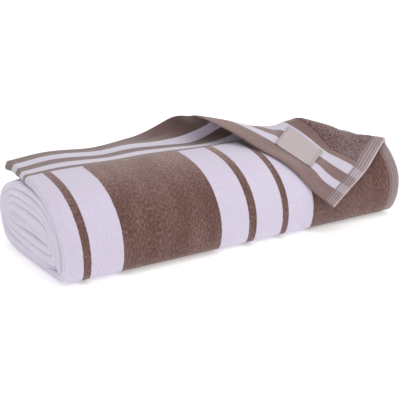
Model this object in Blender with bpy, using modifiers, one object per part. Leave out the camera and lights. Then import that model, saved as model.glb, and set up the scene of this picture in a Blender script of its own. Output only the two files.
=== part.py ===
"""A beach towel, folded in half along its length and rolled up, with its end lying loose on top.

The cloth is one sheet. Each of its points has a place in the flat cloth: across, the distance from
the lengthwise fold (positive in the outer layer, negative in the inner one), and along, the distance
from the loose end. The functions below carry such a point to its place in the roll: first across
the fold at the left end, then over the turned corner, then along the winding.

Metres, +Z up. X runs along the roll, the lengthwise fold is at its -X end, -Y is the front, and the
roll lies on z = 0.
"""

import math

import bmesh
import bpy
import numpy as np

MM = 0.001

# The flat cloth
CLOTH_LENGTH = 1600 * MM
HALF_WIDTH = 409 * MM  # from the lengthwise fold to a side hem
PLY = 2.3 * MM  # thickness of one layer

# The winding
FOLD_X = -203.5 * MM  # the lengthwise fold, at the left end of the roll
CENTRE_Y = 7.6 * MM  # moves the whole roll, so that the origin is in the middle below it
TURNS = 5.75  # turns that would bring the winding down to its flat core
LOOSE_LENGTH = 72 * MM  # cloth that runs on behind the crest, past the winding
FOLD_RADIUS = 1.9 * MM  # of the cloth's middle, round the lengthwise fold
END_DOME = 2.5 * MM  # how far the outermost fold is set back from the middle ones
FLOOR_REACH = 0.8 * MM  # the outer layer lies flat on the floor where it would be lower than this

# The closed oval that the cloth winds inwards from, as control points of a smooth curve, from
# the crest over the front shoulder, the bottom and the back, and the place on the flat core that
# each of them shrinks to
WINDING_OVAL = (
    # y_mm, z_mm, core_y_mm, core_z_mm
    (5.0, 82.5, 6.0, 39.0),
    (-25.0, 80.0, -20.0, 37.5),
    (-45.5, 72.0, -31.0, 36.5),
    (-59.0, 62.0, -34.0, 36.0),
    (-69.5, 48.5, -35.5, 36.0),
    (-74.5, 35.0, -36.0, 36.0),
    (-76.0, 20.5, -35.5, 36.0),
    (-72.5, 3.6, -34.0, 36.0),
    (-62.0, -0.2, -31.0, 36.5),
    (0.0, -0.7, 0.0, 38.0),
    (50.0, -1.2, 37.0, 39.0),
    (76.0, 3.2, 42.0, 39.0),
    (85.5, 22.0, 42.5, 39.0),
    (85.0, 43.0, 42.5, 38.5),
    (76.0, 61.5, 41.5, 38.5),
    (54.0, 75.5, 38.0, 38.5),
    (29.5, 81.0, 27.0, 39.0),
)

# How the loose end's flat-woven border tips as it runs back, a row for each strip of it
BORDER_TILT = (
    # from_mm_of_the_end, degrees
    (72.0, -4.5),
    (32.0, 8.5),
    (20.0, -5.5),
)
TILT_BLEND = 12 * MM
BORDER_INSET = 4.5 * MM  # the fold is drawn in where the thin border begins
BORDER_WIDTH = 66 * MM

# The turned corner: it folds forwards over a line that starts at the end of the cloth
TURN_START_X = -5.5 * MM
TURN_ANGLE = math.radians(30.6)  # of the fold line, from +X towards the front
TURN_LINE = 247 * MM  # its length, to the side hem
TURN_SIZE_START = 34 * MM  # size of the hollow fold at the end of the cloth
TURN_SIZE_MIDDLE = 14 * MM
TURN_SIZE_HEM = 3.7 * MM  # and at the side hem
TURN_REST = 3.6 * MM  # of the turned layer above the one it lies on, middle to middle
RIDGE_LIFT = 11.5 * MM  # a hump where the thick pile begins
RIDGE_LIFT_AT = 162 * MM
RIDGE_LIFT_WIDTH = 31 * MM
HANG_FROM = 77 * MM  # the turned corner hangs straight past this distance in front of the crest
HEM_FLARE = 9.6 * MM  # how far the side hem springs away at the right end
HEM_FLARE_WIDTH = 43 * MM

# Bends of the turned corner's section, a row for each: where it starts and ends, as multiples of
# the fold's size, and the angle that it turns through
TURN_BENDS = (
    # starts, ends, degrees
    (-6.1, -2.8, 2.4),
    (-1.12, 1.12, 201.4),
    (2.05, 5.0, -23.8),
)

# The label, sewn to the wrong side of the border
LABEL_COLUMNS = (318 * MM, 361 * MM)
LABEL_ROWS = (20 * MM, 49 * MM)
LABEL_THICKNESS = 1.0 * MM
LABEL_GAP = 0.4 * MM

# Where the grid of the sheet has its lines. A column is kept from the end of the cloth as far as
# its reach, because the turned corner needs a fine grid and the inner turns don't.
REACH_CORNER = 165 * MM
REACH_OUTER_TURN = 500 * MM
ROWS_CORNER = 24
ROWS_PER_TURN = 21


def smooth(x):
    """0 below 0, 1 above 1, and a soft step between."""
    x = np.clip(x, 0, 1)
    return x * x * (3 - 2 * x)


def oval(turn):
    """The row of the winding oval at a number of turns from the crest, as a uniform cubic spline."""
    points = np.array(WINDING_OVAL) * MM
    count = len(points)
    at = np.mod(turn, 1.0) * count
    first = np.floor(at).astype(int)
    t = (at - first)[..., None]
    weights = (
        (1 - t) ** 3,
        3 * t**3 - 6 * t**2 + 4,
        -3 * t**3 + 3 * t**2 + 3 * t + 1,
        t**3,
    )
    return sum(w * points[(first + k - 1) % count] for k, w in enumerate(weights)) / 6


def wound(turn, layer):
    """(y, z) on the winding; layer is 1 in the outer layer of the doubled cloth and -1 in the inner."""
    row = oval(turn)
    rim, core = row[..., :2], row[..., 2:]
    share = 1 - turn / TURNS + layer * 0.25 / TURNS
    return core + (rim - core) * share[..., None]


def lengths_along(points):
    steps = np.linalg.norm(np.diff(points, axis=0), axis=1)
    return np.concatenate([[0], np.cumsum(steps)])


def turn_table():
    """Turns and the length of cloth wound by then."""
    turns = np.linspace(0, TURNS, 6001)
    return turns, lengths_along(wound(turns, np.zeros_like(turns)))


TURN_TABLE = turn_table()


def loose_table():
    """The loose end's middle line behind the crest: length, and its run back and rise from there."""
    length = np.linspace(0, LOOSE_LENGTH, 289)
    left = LOOSE_LENGTH - length
    degrees = BORDER_TILT[0][1] * smooth(length / TILT_BLEND)
    for (_, before), (start, after) in zip(BORDER_TILT, BORDER_TILT[1:]):
        degrees += (after - before) * smooth((start * MM - left) / TILT_BLEND + 0.5)
    angle = np.radians(degrees)
    step = length[1]
    back = np.concatenate([[0], np.cumsum(np.cos(angle[1:]) * step)])
    rise = np.concatenate([[0], np.cumsum(np.sin(angle[1:]) * step)])
    return length, back, rise


LOOSE_TABLE = loose_table()


def on_path(forward, layer):
    """(y, z) of a layer at a distance forwards of the crest, along the cloth."""
    wound_length = np.maximum(forward, 0)
    turns = np.interp(wound_length, TURN_TABLE[1], TURN_TABLE[0])
    loose = np.maximum(-forward, 0)
    back = np.interp(loose, LOOSE_TABLE[0], LOOSE_TABLE[1])
    rise = np.interp(loose, LOOSE_TABLE[0], LOOSE_TABLE[2])
    past = np.maximum(loose - LOOSE_LENGTH, 0)
    return wound(turns, layer) + np.stack([back + past, rise], -1)


def path_normal(forward, layer):
    """Unit (y, z) that points outwards from the path."""
    step = 1.5 * MM
    run = on_path(forward + step, layer) - on_path(forward - step, layer)
    run /= np.linalg.norm(run, axis=-1)[..., None]
    return np.stack([run[..., 1], -run[..., 0]], -1)


def hung(forward):
    """(y, z) and normal of the line that the turned corner hangs along: straight past HANG_FROM."""
    start = np.minimum(forward, HANG_FROM)
    normal = path_normal(start, 1)
    ahead = np.stack([-normal[..., 1], normal[..., 0]], -1)
    return on_path(start, 1) + (forward - start)[..., None] * ahead, normal


def turn_section():
    """The turned corner's section at size 1: distance in the cloth, and its run and height."""
    distance = np.linspace(-30, 60, 18001)
    angle = np.zeros_like(distance)
    for starts, ends, degrees in TURN_BENDS:
        angle += math.radians(degrees) * smooth((distance - starts) / (ends - starts))
    step = distance[1] - distance[0]
    run = distance[0] + np.concatenate([[0], np.cumsum(np.cos(angle[1:]) * step)])
    height = np.concatenate([[0], np.cumsum(np.sin(angle[1:]) * step)])
    return distance, run, height


TURN_SECTION = turn_section()


def turn_corner(x, forward):
    """Carries places in the outer layer over the turned corner: x, forward, height, how far over."""
    right, ahead = math.cos(TURN_ANGLE), math.sin(TURN_ANGLE)
    past_start = forward + LOOSE_LENGTH
    line = (x - TURN_START_X) * right + past_start * ahead
    over = (x - TURN_START_X) * ahead - past_start * right
    share = np.clip(line / TURN_LINE, -0.2, 1)
    size = TURN_SIZE_START + (TURN_SIZE_HEM - TURN_SIZE_START) * share
    waist = TURN_SIZE_MIDDLE - (TURN_SIZE_START + TURN_SIZE_HEM) / 2
    size += waist * np.clip(4 * share * (1 - share), 0, 1)
    turned = over / size
    distance, run_table, height_table = TURN_SECTION
    run = size * np.interp(turned, distance, run_table)
    height = size * np.interp(turned, distance, height_table)
    run = np.where(turned < distance[0], over, run)
    hump = np.exp(-(((line - RIDGE_LIFT_AT) / RIDGE_LIFT_WIDTH) ** 2))
    height += RIDGE_LIFT * hump * np.exp(-(((turned - 1.6) / 1.6) ** 2))
    height += TURN_REST * smooth((turned + 1) / 2)
    new_x = TURN_START_X + line * right + run * ahead
    new_forward = -LOOSE_LENGTH + line * ahead - run * right
    return new_x, new_forward, height, turned


def flare(x):
    return smooth((x - (FOLD_X + HALF_WIDTH - HEM_FLARE_WIDTH)) / HEM_FLARE_WIDTH)


def place(across, along):
    """The places in space of points of the flat cloth, one row each."""
    quarter = FOLD_RADIUS * math.pi / 2
    round_fold = np.clip(across / quarter, -1, 1)
    layer = np.sin(round_fold * math.pi / 2)
    inset = FOLD_RADIUS * (1 - np.cos(round_fold * math.pi / 2))
    straight = np.maximum(np.abs(across) - quarter, 0)
    dome = END_DOME * smooth(1 - along / (0.5 * CLOTH_LENGTH))
    x = FOLD_X + dome + inset + straight
    near_fold = smooth(1 - straight / (150 * MM))
    x += BORDER_INSET * smooth((BORDER_WIDTH + 12 * MM - along) / (50 * MM)) * near_fold
    x -= dome * smooth(straight / HALF_WIDTH)
    forward = along - LOOSE_LENGTH

    turned_x, turned_forward, height, turned = turn_corner(x, forward)
    outer = (across > quarter) & (along < 0.5 * CLOTH_LENGTH)
    held = 1 - smooth((along - 150 * MM) / (55 * MM))
    spring = np.maximum(flare(turned_x), flare(x) * smooth(turned))
    height = height + HEM_FLARE * spring * held
    x = np.where(outer, turned_x, x)
    forward = np.where(outer, turned_forward, forward)
    height = np.where(outer, height, 0)

    yz = on_path(forward, layer) + height[..., None] * path_normal(forward, layer)
    hung_yz, hung_normal = hung(forward)
    share = np.where(outer, smooth((turned + 0.5) / 1.5), 0)[..., None]
    yz += share * (hung_yz + height[..., None] * hung_normal - yz)
    on_floor = (along > 190 * MM) & (along < 340 * MM) & (yz[..., 1] < PLY / 2 + FLOOR_REACH)
    yz[..., 1] = np.where(on_floor, PLY / 2, yz[..., 1])
    return np.stack([x, yz[..., 0] + CENTRE_Y, yz[..., 1]], -1)


def cloth_normal(across, along):
    """Unit normals of the cloth's right side, the face that is outwards on the roll."""
    step = 0.5 * MM
    run_across = place(across + step, along) - place(across - step, along)
    run_along = place(across, along + step) - place(across, along - step)
    normal = np.cross(run_along, run_across)
    return normal / np.linalg.norm(normal, axis=-1)[..., None]


def column_lines():
    """Distances across the cloth of the grid's columns, each with its reach along the cloth."""
    everywhere = CLOTH_LENGTH + 1
    quarter = FOLD_RADIUS * math.pi / 2
    lines = {0.0: everywhere}
    for side in (1, -1):
        lines[side * 0.5 * quarter] = everywhere
        lines[side * quarter] = everywhere
        for d in (22, 140, 270, 409):
            lines[side * d * MM] = everywhere
        for d in (80, 205, 340):
            lines[side * d * MM] = REACH_OUTER_TURN
    for d in (374, 392):
        lines[d * MM] = REACH_OUTER_TURN
    fine = (50, 110, 155, 168, 180, 192, 216, 228, 240, 251, 261, 279, 288, 297, 306)
    for d in fine + (312, 318, 324, 331, 349, 355, 361, 367, 383, 401):
        lines[d * MM] = REACH_CORNER
    return sorted(lines.items())


def row_lines():
    """Distances along the cloth of the grid's rows."""
    corner = list(np.linspace(0, REACH_CORNER, ROWS_CORNER + 1))
    first = np.interp(REACH_CORNER - LOOSE_LENGTH, TURN_TABLE[1], TURN_TABLE[0])
    last = np.interp(CLOTH_LENGTH - LOOSE_LENGTH, TURN_TABLE[1], TURN_TABLE[0])
    turns = np.append(np.arange(first + 1 / ROWS_PER_TURN, last - 0.02, 1 / ROWS_PER_TURN), last)
    wound_rows = np.interp(turns, TURN_TABLE[0], TURN_TABLE[1]) + LOOSE_LENGTH
    return corner + list(wound_rows)


def between(lines, limits):
    return [line for line in lines if limits[0] - 1e-6 < line < limits[1] + 1e-6]


def flat_sheet(columns, rows):
    """A bmesh grid with its lines at these distances, still flat: x is across and y is along."""
    bm = bmesh.new()
    spans = (len(columns) - 1, len(rows) - 1)
    bmesh.ops.create_grid(bm, x_segments=spans[0], y_segments=spans[1], size=0.5)
    for vert in bm.verts:
        column = round((vert.co.x + 0.5) * spans[0])
        row = round((vert.co.y + 0.5) * spans[1])
        vert.co = (columns[column], rows[row], 0)
    return bm


def thin_out(bm, lines):
    """Takes each column out of the flat sheet past its reach."""
    spare = []
    for edge in bm.edges:
        a, b = (v.co for v in edge.verts)
        if abs(a.x - b.x) > 1e-7:
            continue
        reach = min(lines, key=lambda line: abs(line[0] - a.x))[1]
        if min(a.y, b.y) > reach - 1e-6:
            spare.append(edge)
    bmesh.ops.dissolve_edges(bm, edges=spare, use_verts=True)


def lay(bm, lift=0.0):
    """Moves the flat sheet's points to their places, raised by lift on the cloth's right side."""
    bm.verts.ensure_lookup_table()
    flat = np.array([v.co[:2] for v in bm.verts])
    placed = place(flat[:, 0], flat[:, 1])
    if lift:
        placed += lift * cloth_normal(flat[:, 0], flat[:, 1])
    for vert, point in zip(bm.verts, placed):
        vert.co = point
    bmesh.ops.recalc_face_normals(bm, faces=bm.faces)


def sheet_object(name, bm, thickness, material, collection):
    mesh = bpy.data.meshes.new(name)
    bm.to_mesh(mesh)
    bm.free()
    mesh.shade_smooth()
    mesh.materials.append(material)
    sheet = bpy.data.objects.new(name, mesh)
    collection.objects.link(sheet)
    solid = sheet.modifiers.new("thickness", "SOLIDIFY")
    solid.thickness = thickness
    solid.offset = 0
    solid.use_even_offset = True
    solid.use_quality_normals = True
    return sheet


def cloth_material(name, colour, roughness):
    material = bpy.data.materials.new(name)
    material.use_nodes = True
    shader = material.node_tree.nodes["Principled BSDF"]
    shader.inputs["Base Color"].default_value = colour
    shader.inputs["Roughness"].default_value = roughness
    shader.inputs["Metallic"].default_value = 0
    material.diffuse_color = colour
    return material


def make_towel(collection):
    lines = column_lines()
    bm = flat_sheet([line[0] for line in lines], row_lines())
    thin_out(bm, lines)
    lay(bm)
    terry = cloth_material("brown and white terry", (0.48, 0.40, 0.38, 1), 0.95)
    return sheet_object("towel", bm, PLY, terry, collection)


def make_label(collection):
    columns = [line for line, _ in column_lines()]
    bm = flat_sheet(between(columns, LABEL_COLUMNS), between(row_lines(), LABEL_ROWS))
    lay(bm, -(PLY / 2 + LABEL_GAP + LABEL_THICKNESS / 2))
    satin = cloth_material("label satin", (0.62, 0.61, 0.64, 1), 0.6)
    return sheet_object("label", bm, LABEL_THICKNESS, satin, collection)


def main():
    for old in list(bpy.data.objects):
        bpy.data.objects.remove(old, do_unlink=True)
    collection = bpy.data.collections.new("beach towel")
    bpy.context.scene.collection.children.link(collection)
    make_towel(collection)
    make_label(collection)


main()
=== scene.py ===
# %% [markdown]
# # A beach towel, folded and rolled
# A beach towel is one long piece of cotton. Its face is velour, which is loops of pile that were
# sheared short, and its reverse is left as loops. The ends are a flat woven border, and every side
# is turned in and sewn as a hem. Here it was folded in half along its length, rolled up from one
# end, and the last stretch was left lying on top with one corner turned over.
#
# The plain solids of the towel and its label come first. They fix where everything is, and the
# detailed cloth takes their place.

import math

import bmesh
import bpy
import numpy as np
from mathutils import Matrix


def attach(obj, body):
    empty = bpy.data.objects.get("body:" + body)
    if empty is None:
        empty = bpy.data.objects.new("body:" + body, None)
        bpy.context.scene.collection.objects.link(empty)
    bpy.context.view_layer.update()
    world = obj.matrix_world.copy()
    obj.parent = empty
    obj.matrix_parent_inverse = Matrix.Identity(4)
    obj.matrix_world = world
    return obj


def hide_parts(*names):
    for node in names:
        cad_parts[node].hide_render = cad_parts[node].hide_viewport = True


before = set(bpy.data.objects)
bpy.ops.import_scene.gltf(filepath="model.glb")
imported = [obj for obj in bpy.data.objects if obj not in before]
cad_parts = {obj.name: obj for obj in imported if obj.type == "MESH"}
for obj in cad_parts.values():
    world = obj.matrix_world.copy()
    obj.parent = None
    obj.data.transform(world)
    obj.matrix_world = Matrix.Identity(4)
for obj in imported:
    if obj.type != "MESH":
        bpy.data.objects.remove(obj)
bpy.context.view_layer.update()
MM = 0.001
print("solids:", sorted(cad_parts))

# %% [markdown]
# ## Where the camera stands
# The photograph looks down a little on the left end of the roll, from about a metre away and
# through a long lens, so that parallel edges hardly draw together. A camera that turns round a
# target by an azimuth and an elevation is easy to compare with the photograph.

# %% Camera
CAMERA_AZIMUTH = math.radians(-32.94)
CAMERA_ELEVATION = math.radians(17.43)
CAMERA_DISTANCE = 0.915
CAMERA_TARGET = np.array((-0.0105, 0.0076, 0.0327))
FOCAL_PIXELS = 853.0  # measured in the photograph's own pixels
PHOTO_PIXELS = 400.0

camera_data = bpy.data.cameras.new("camera")
camera_data.sensor_width = 36.0
camera_data.lens = FOCAL_PIXELS / PHOTO_PIXELS * camera_data.sensor_width
camera = bpy.data.objects.new("camera", camera_data)
bpy.context.scene.collection.objects.link(camera)
towards_camera = np.array(
    (
        math.sin(CAMERA_AZIMUTH) * math.cos(CAMERA_ELEVATION),
        -math.cos(CAMERA_AZIMUTH) * math.cos(CAMERA_ELEVATION),
        math.sin(CAMERA_ELEVATION),
    )
)
camera.location = CAMERA_TARGET + CAMERA_DISTANCE * towards_camera
camera.rotation_euler = (math.pi / 2 - CAMERA_ELEVATION, 0, CAMERA_AZIMUTH)
bpy.context.scene.camera = camera
print("camera at", [round(c, 3) for c in camera.location])

# %% [markdown]
# ## The flat cloth
# Each point of the cloth gets two numbers before any folding: across, its distance from the
# lengthwise fold (positive in the outer layer, negative in the inner one), and along, its distance
# from the loose end. Folding is then only a rule that says where such a point goes. The stripes,
# the border and the stitches can all be drawn later from the same two numbers, so they bend with
# the cloth.

# %% Sizes of the flat cloth
CLOTH_LENGTH = 1600 * MM
HALF_WIDTH = 409 * MM  # from the lengthwise fold to a side hem
PLY = 2.3 * MM  # thickness of one layer in the plain solids
PILE = 3.2 * MM  # thickness of the cloth where its pile stands free
BORDER_WIDTH = 66 * MM
HEM_WIDTH = 12 * MM
print("flat cloth:", 2 * HALF_WIDTH, "by", CLOTH_LENGTH, "m")

# %% [markdown]
# ## The winding
# A roll that was pressed flat a little isn't round: its section is an oval, drawn here as a smooth
# closed curve near a few control points, and every turn inside it is the same oval shrunk towards a
# flat core. A real spiral would need a formula for each turn, while shrinking the oval evenly keeps
# the layers the same distance apart, and the last turns are only drawn in a bit more.

# %% Winding oval
FOLD_X = -203.5 * MM
CENTRE_Y = 7.6 * MM
TURNS = 5.75
LOOSE_LENGTH = 72 * MM
CORE_CLOSED = 0.085  # how much nearer the core the last turns lie, as a share of the way out
CORE_CLOSES_FROM = 1.2
CORE_CLOSES_OVER = 3.3
MOUTH_TURNS = (3.7, 4.7)  # the turns whose inner layer closes the hollow in the middle of the end
MOUTH_OPENS_OVER = 0.3
MOUTH_CLOSES_OVER = 0.25
LAYER_OFFSET = 0.25  # of either layer from its turn's middle, as a share of a turn's room
TURN_STEPS = 6000

WINDING_OVAL = (
    # y_mm, z_mm, core_y_mm, core_z_mm
    (5.0, 82.5, 6.0, 41.5),
    (-25.0, 80.0, -20.0, 41.0),
    (-45.5, 72.0, -31.0, 40.5),
    (-59.0, 62.0, -34.0, 40.0),
    (-69.5, 48.5, -35.5, 40.0),
    (-74.5, 35.0, -36.0, 40.0),
    (-76.0, 20.5, -35.5, 40.0),
    (-72.5, 3.6, -34.0, 40.0),
    (-62.0, -0.2, -31.0, 40.5),
    (0.0, -0.7, 0.0, 41.0),
    (50.0, -1.2, 37.0, 41.0),
    (76.0, 3.2, 42.0, 40.5),
    (85.5, 22.0, 42.5, 40.5),
    (85.0, 43.0, 42.5, 40.0),
    (76.0, 61.5, 41.5, 40.0),
    (54.0, 75.5, 38.0, 40.5),
    (29.5, 81.0, 27.0, 41.0),
)


def smooth(x):
    """0 below 0, 1 above 1, and a soft step between."""
    x = np.clip(x, 0, 1)
    return x * x * (3 - 2 * x)


def rise(x, start, over):
    """0 up to start, and a soft rise to 1 over this length."""
    return smooth((x - start) / over)


def fade(x, reach):
    """1 at 0, and a soft fall to 0 at this reach."""
    return smooth(1 - x / reach)


def bump(x, middle, width):
    """1 in the middle, and a soft fall on both sides."""
    return np.exp(-(((x - middle) / width) ** 2))


def oval(turn):
    """The row of the winding oval at a number of turns from the crest, as a cubic spline."""
    points = np.array(WINDING_OVAL) * MM
    count = len(points)
    at = np.mod(turn, 1.0) * count
    first = np.floor(at).astype(int)
    t = (at - first)[..., None]
    weights = (
        (1 - t) ** 3,
        3 * t**3 - 6 * t**2 + 4,
        -3 * t**3 + 3 * t**2 + 3 * t + 1,
        t**3,
    )
    return sum(w * points[(first + k - 1) % count] for k, w in enumerate(weights)) / 6


def roominess(turn):
    """How much more room a turn has than the outer ones, because the core is closed."""
    t = np.clip((turn - CORE_CLOSES_FROM) / CORE_CLOSES_OVER, 0, 1)
    return 1 + CORE_CLOSED * TURNS * 6 * t * (1 - t) / CORE_CLOSES_OVER


def wound(turn, layer, narrowed=0.0, mouth=0.0):
    """(y, z) on the winding; layer is 1 in the outer layer of the doubled cloth, -1 in the inner.

    Near the left end, narrowed draws all turns in a little, and mouth closes the hollow in the middle.
    """
    row = oval(turn)
    rim, core = row[..., :2], row[..., 2:]
    share = 1 - turn / TURNS + layer * LAYER_OFFSET / TURNS * roominess(turn)
    share = share - CORE_CLOSED * rise(turn, CORE_CLOSES_FROM, CORE_CLOSES_OVER)
    at_mouth = rise(turn, MOUTH_TURNS[0], MOUTH_OPENS_OVER)
    at_mouth = at_mouth * rise(-turn, -MOUTH_TURNS[1], MOUTH_CLOSES_OVER)
    share = share * (1 - narrowed) - mouth * at_mouth * smooth(-layer)
    return core + (rim - core) * share[..., None]


def lengths_along(points):
    steps = np.linalg.norm(np.diff(points, axis=0), axis=1)
    return np.concatenate([[0], np.cumsum(steps)])


turns = np.linspace(0, TURNS, TURN_STEPS + 1)
TURN_TABLE = turns, lengths_along(wound(turns, np.zeros_like(turns)))
used = np.interp(CLOTH_LENGTH - LOOSE_LENGTH, TURN_TABLE[1], TURN_TABLE[0])
print("the cloth is used up after", round(float(used), 2), "turns")

# %% [markdown]
# ## The loose end
# The thick pile stops at the crest of the roll, and the thin border runs on behind it, lying a
# little uneven. A table of tilts, one for each strip of the border, gives that unevenness with
# three numbers.

# %% Loose end
BORDER_TILT = (
    # from_mm_of_the_end, degrees
    (72.0, -4.5),
    (32.0, 8.5),
    (20.0, -5.5),
)
TILT_BLEND = 12 * MM
LOOSE_STEPS = 288


def loose_table():
    """The loose end behind the crest: length, and its run back and rise from there."""
    length = np.linspace(0, LOOSE_LENGTH, LOOSE_STEPS + 1)
    left = LOOSE_LENGTH - length
    degrees = BORDER_TILT[0][1] * smooth(length / TILT_BLEND)
    for (_, before), (start, after) in zip(BORDER_TILT, BORDER_TILT[1:]):
        degrees += (after - before) * smooth((start * MM - left) / TILT_BLEND + 0.5)
    angle = np.radians(degrees)
    step = length[1]
    back = np.concatenate([[0], np.cumsum(np.cos(angle[1:]) * step)])
    up = np.concatenate([[0], np.cumsum(np.sin(angle[1:]) * step)])
    return length, back, up


LOOSE_TABLE = loose_table()


def on_path(forward, layer, narrowed=0.0, mouth=0.0):
    """(y, z) of a layer at a distance forwards of the crest, along the cloth."""
    turn = np.interp(np.maximum(forward, 0), TURN_TABLE[1], TURN_TABLE[0])
    loose = np.maximum(-forward, 0)
    back = np.interp(loose, LOOSE_TABLE[0], LOOSE_TABLE[1])
    up = np.interp(loose, LOOSE_TABLE[0], LOOSE_TABLE[2])
    past = np.maximum(loose - LOOSE_LENGTH, 0)
    return wound(turn, layer, narrowed, mouth) + np.stack([back + past, up], -1)


def path_normal(forward, layer):
    """Unit (y, z) that points outwards from the path."""
    step = 1.5 * MM
    run = on_path(forward + step, layer) - on_path(forward - step, layer)
    run /= np.linalg.norm(run, axis=-1)[..., None]
    return np.stack([run[..., 1], -run[..., 0]], -1)


print("the loose end runs back", round(LOOSE_TABLE[1][-1] / MM, 1), "mm behind the crest")

# %% [markdown]
# ## The turned corner
# The outer layer's corner folds forwards over a slanting line. The fold is a wide hollow cone where
# it starts at the end of the cloth, and closes to a flat fold at the side hem. One section, a
# nearly straight run, a bend of a little more than half a turn and a run back down, serves for the
# whole fold: it is only scaled along the fold line.

# %% Turned corner
TURN_START_X = -5.5 * MM
TURN_ANGLE = math.radians(30.6)
TURN_LINE = 247 * MM
TURN_SIZE_START = 34 * MM
TURN_SIZE_MIDDLE = 14 * MM
TURN_SIZE_HEM = 3.7 * MM
TURN_REST = 3.6 * MM
RIDGE_LIFT = 11.5 * MM
RIDGE_LIFT_AT = 162 * MM
RIDGE_LIFT_WIDTH = 31 * MM
RIDGE_TURNED = (1.6, 1.6)  # middle and width of the ridge over the fold, at size 1
HANG_FROM = 77 * MM
HEM_FLARE = 9.6 * MM
HEM_FLARE_WIDTH = 43 * MM
CONE_GROWS_TO = -0.2  # place on the fold line, as a share of it, where the cone stops growing
TURN_RESTED = (-1, 2)  # where the corner rises by TURN_REST: start and length, at size 1
SECTION_SPAN = (-30, 60)
SECTION_STEPS = 18000

TURN_BENDS = (
    # starts, ends, degrees
    (-6.1, -2.8, 2.4),
    (-1.12, 1.12, 201.4),
    (2.05, 5.0, -23.8),
)


def hung(forward):
    """(y, z) and normal of the line that the turned corner hangs along: straight past HANG_FROM."""
    start = np.minimum(forward, HANG_FROM)
    normal = path_normal(start, 1)
    ahead = np.stack([-normal[..., 1], normal[..., 0]], -1)
    return on_path(start, 1) + (forward - start)[..., None] * ahead, normal


def turn_section():
    """The turned corner's section at size 1: distance in the cloth, and its run and height."""
    distance = np.linspace(*SECTION_SPAN, SECTION_STEPS + 1)
    angle = np.zeros_like(distance)
    for starts, ends, degrees in TURN_BENDS:
        angle += math.radians(degrees) * smooth((distance - starts) / (ends - starts))
    step = distance[1] - distance[0]
    run = distance[0] + np.concatenate([[0], np.cumsum(np.cos(angle[1:]) * step)])
    height = np.concatenate([[0], np.cumsum(np.sin(angle[1:]) * step)])
    return distance, run, height


TURN_SECTION = turn_section()


def turn_corner(x, forward):
    """Carries places in the outer layer over the turned corner: x, forward, height, how far over."""
    right, ahead = math.cos(TURN_ANGLE), math.sin(TURN_ANGLE)
    past_start = forward + LOOSE_LENGTH
    line = (x - TURN_START_X) * right + past_start * ahead
    over = (x - TURN_START_X) * ahead - past_start * right
    share = np.clip(line / TURN_LINE, CONE_GROWS_TO, 1)
    size = TURN_SIZE_START + (TURN_SIZE_HEM - TURN_SIZE_START) * share
    waist = TURN_SIZE_MIDDLE - (TURN_SIZE_START + TURN_SIZE_HEM) / 2
    size += waist * np.clip(4 * share * (1 - share), 0, 1)
    turned = over / size
    distance, run_table, height_table = TURN_SECTION
    run = size * np.interp(turned, distance, run_table)
    height = size * np.interp(turned, distance, height_table)
    run = np.where(turned < distance[0], over, run)
    hump = bump(line, RIDGE_LIFT_AT, RIDGE_LIFT_WIDTH) * bump(turned, *RIDGE_TURNED)
    height += RIDGE_LIFT * hump
    height += TURN_REST * rise(turned, *TURN_RESTED)
    new_x = TURN_START_X + line * right + run * ahead
    new_forward = -LOOSE_LENGTH + line * ahead - run * right
    return new_x, new_forward, height, turned


print("the fold line is", TURN_LINE, "m long")

# %% [markdown]
# ## Softness
# Cotton never lies in perfectly even turns. Long low swells on the outside, edges of the folds that
# stand out by different amounts, and a slight wave in the free edge of the turned corner are enough
# to take the machined look away. Sums of a few slow sines do this, and stay the same on each run.
# The loose border lies in a few wide billows, which are rows of a table.

# %% Swells and uneven edges
SWELL = 0.7 * MM
SLOW_SWELLS = (37 * MM, 61 * MM)  # how long a radian of the wave is, across and along
FAST_SWELLS = (19 * MM, 33 * MM)
SLOW_SHARE = 0.7
EDGE_WAVE = 1.3 * MM
FOLD_UNEVEN = 1.2 * MM
FOLD_WAVES = (47 * MM, 21 * MM)
LOWER_CREASE = 6.5 * MM
LOWER_CREASE_AT = 582 * MM
LOWER_CREASE_WIDTH = 9 * MM
BILLOWS_PAST = 10 * MM  # how far they reach into the pile
BILLOWS_OVER = 50 * MM
BORDER_BILLOWS = (
    # x_mm, width_mm, height_mm
    (-154.0, 34.0, 3.4),
    (-101.0, 18.0, -0.6),
    (-66.0, 24.0, 1.6),
    (8.0, 26.0, -2.6),
)


def swells(across, along):
    """Low swells of the outer layer, as a height above its path."""
    slow = np.sin(across / SLOW_SWELLS[0] + 1.3 * np.sin(along / SLOW_SWELLS[1]))
    fast = np.sin(across / FAST_SWELLS[0] - along / FAST_SWELLS[1] + 2.0)
    return SWELL * (SLOW_SHARE * slow + (1 - SLOW_SHARE) * fast)


def uneven_fold(along):
    """How far the lengthwise fold stands out to the left, more or less from turn to turn."""
    wave = 0.6 * np.sin(along / FOLD_WAVES[0]) + 0.4 * np.sin(along / FOLD_WAVES[1] + 1.1)
    crease = LOWER_CREASE * bump(along, LOWER_CREASE_AT, LOWER_CREASE_WIDTH)
    return FOLD_UNEVEN * wave - crease


def billows(x, along):
    """How much higher the loose border lies than its path."""
    height = sum(lift * bump(x / MM, middle, width) for middle, width, lift in BORDER_BILLOWS)
    return MM * height * rise(-along, -BORDER_WIDTH - BILLOWS_PAST, BILLOWS_OVER)


print("swells up to", SWELL / MM, "mm")

# %% [markdown]
# ## The left end
# At the lengthwise fold the cloth turns back on itself, turn after turn, and these noses are what
# the left end shows. Thick pile makes them blunt, and it swells until neighbours touch, so the end
# looks closed and not like a stack of sheets. The last turns lie a little further in.

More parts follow.
